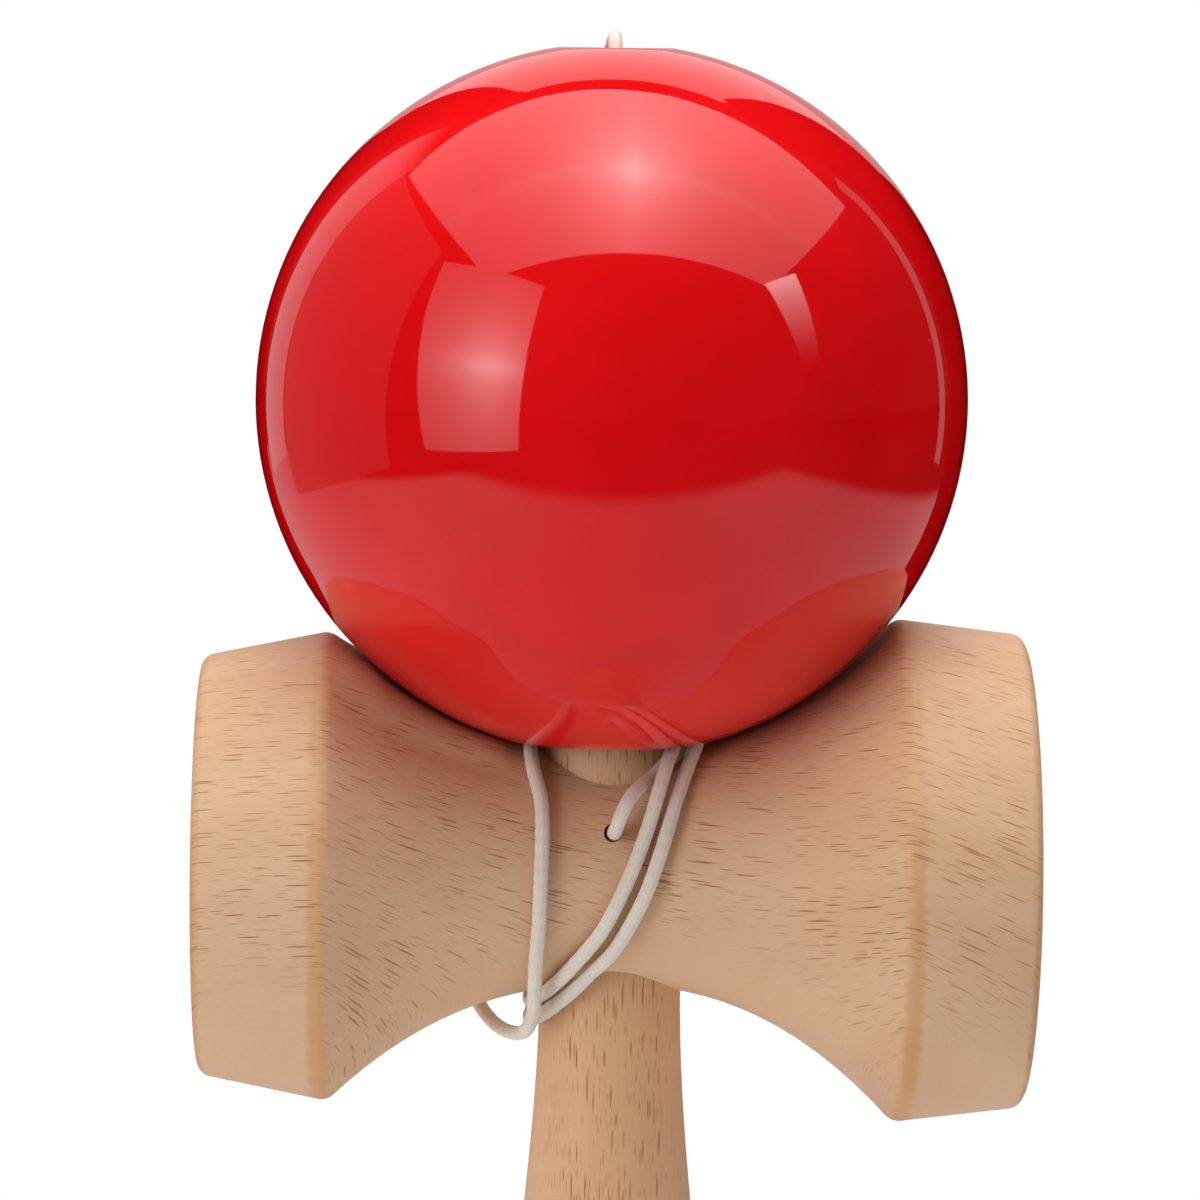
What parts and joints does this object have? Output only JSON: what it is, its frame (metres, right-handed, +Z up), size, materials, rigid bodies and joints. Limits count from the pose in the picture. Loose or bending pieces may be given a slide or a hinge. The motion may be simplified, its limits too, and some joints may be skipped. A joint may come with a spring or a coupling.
{
  "type": "cup and ball toy",
  "caption": "Wooden cup and ball toy: a turned handle with a spike and a base cup, a crosspiece with a cup at each end, and a red lacquered ball on a string wound round the waist.",
  "frame": {"origin": "centre of the base cup's rim, where the toy stands", "axes": "+Z up the handle to the spike and the ball, +X along the crosspiece to the big cup, -Y to the front with the string hole"},
  "size_m": [0.0698, 0.0609, 0.1768],
  "materials": {
    "handle_wood": "satin beech, flecks along the handle",
    "crosspiece_wood": "satin beech, flecks along the crosspiece",
    "ball_lacquer": "gloss red lacquer",
    "bead_wood": "plain wood",
    "string": "braided cotton"
  },
  "bodies": {
    "handle": {"handle": "handle_wood", "cup_crosspiece": "crosspiece_wood", "handle_knot": "string", "string_through_handle": "string", "string_wraps": "string"},
    "string_end": {"ball_bead": "bead_wood", "bead_knot": "string", "string_over_ball": "string"},
    "ball": {"ball": "ball_lacquer"}
  },
  "joints": [
    {"name": "ball_lift", "type": "slide", "parent": "handle", "child": "string_end", "axis": [0, 0, 1], "range_m": [0, 0.08]},
    {"name": "ball_spin", "type": "hinge", "parent": "string_end", "child": "ball", "pos_m": [-0.0004, 0, 0.1458], "axis": [0, 0, 1], "continuous": true}
  ]
}
